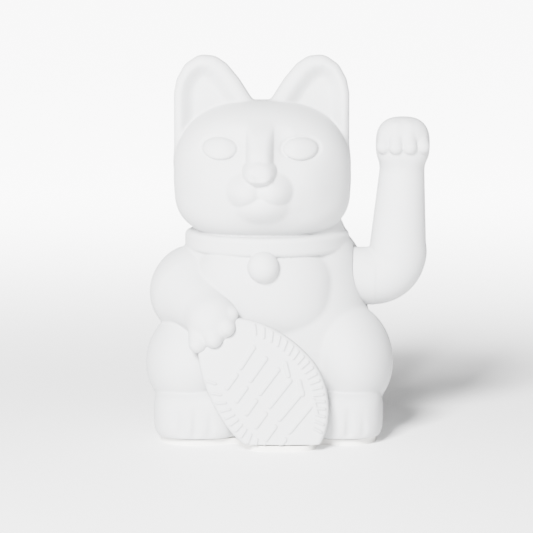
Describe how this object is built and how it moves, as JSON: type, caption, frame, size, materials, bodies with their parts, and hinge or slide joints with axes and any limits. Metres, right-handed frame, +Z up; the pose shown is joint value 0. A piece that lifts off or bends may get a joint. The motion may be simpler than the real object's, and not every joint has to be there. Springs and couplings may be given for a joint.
{
  "type": "beckoning cat figurine",
  "caption": "Seated white cat figurine with one raised waving arm on a shoulder shaft, the other paw holding an oval coin, on a flat base with a battery bay.",
  "frame": {"origin": "on the table plane under the centre of the collar, where the two casings meet", "axes": "+Z up; the cat faces -Y; +X towards its raised left arm, whose shaft lies along X in the plane Y = 0"},
  "size_m": [0.1116, 0.0868, 0.15],
  "materials": {
    "casing_white": "soft matte lacquer",
    "base_white": "moulded, uncoated",
    "inner_plastic": "moulded",
    "black_plastic": "moulded",
    "steel": "zinc plated",
    "bronze": "turned",
    "copper": "enamelled wire",
    "magnet": "nickel plated",
    "board": "solder mask",
    "resistor": "lacquered",
    "can": "printed sleeve",
    "cell": "printed sleeve",
    "felt": "soft pad",
    "red_wire": "wire insulation",
    "black_wire": "wire insulation"
  },
  "bodies": {
    "case": {"front_shell": "casing_white", "back_shell": "casing_white", "base_plate": "base_white", "battery_cell": "cell", "positive_contact": "steel", "negative_spring": "steel", "switch_housing": "black_plastic", "switch_terminals": "bronze", "pivot_frame": "inner_plastic", "shaft_bushes": "bronze", "stop_pads": "felt", "circuit_board": "board", "coil_bobbin": "inner_plastic", "coil_core": "steel", "drive_coil": "copper", "transistor": "black_plastic", "capacitor": "can", "resistors": "resistor", "red_lead": "red_wire", "black_lead": "black_wire", "switch_lead": "black_wire", "case_screws": "steel", "frame_screws": "steel", "board_screws": "steel", "switch_screws": "steel"},
    "swing": {"arm_shaft": "steel", "shaft_clip": "steel", "arm_socket": "inner_plastic", "pendulum_lever": "inner_plastic", "pendulum_magnet": "magnet", "counterweight": "steel", "arm_front_shell": "casing_white", "arm_back_shell": "casing_white"},
    "door": {"battery_door": "base_white"},
    "knob": {"switch_knob": "black_plastic"}
  },
  "joints": [
    {"name": "arm_swing", "type": "hinge", "parent": "case", "child": "swing", "pos_m": [0, 0, 0.0622], "axis": [1, 0, 0], "range_deg": [-20, 20]},
    {"name": "door_slide", "type": "slide", "parent": "case", "child": "door", "axis": [0, 1, 0], "range_m": [0, 0.03]},
    {"name": "switch_slide", "type": "slide", "parent": "case", "child": "knob", "axis": [1, 0, 0], "range_m": [0, 0.003]}
  ]
}
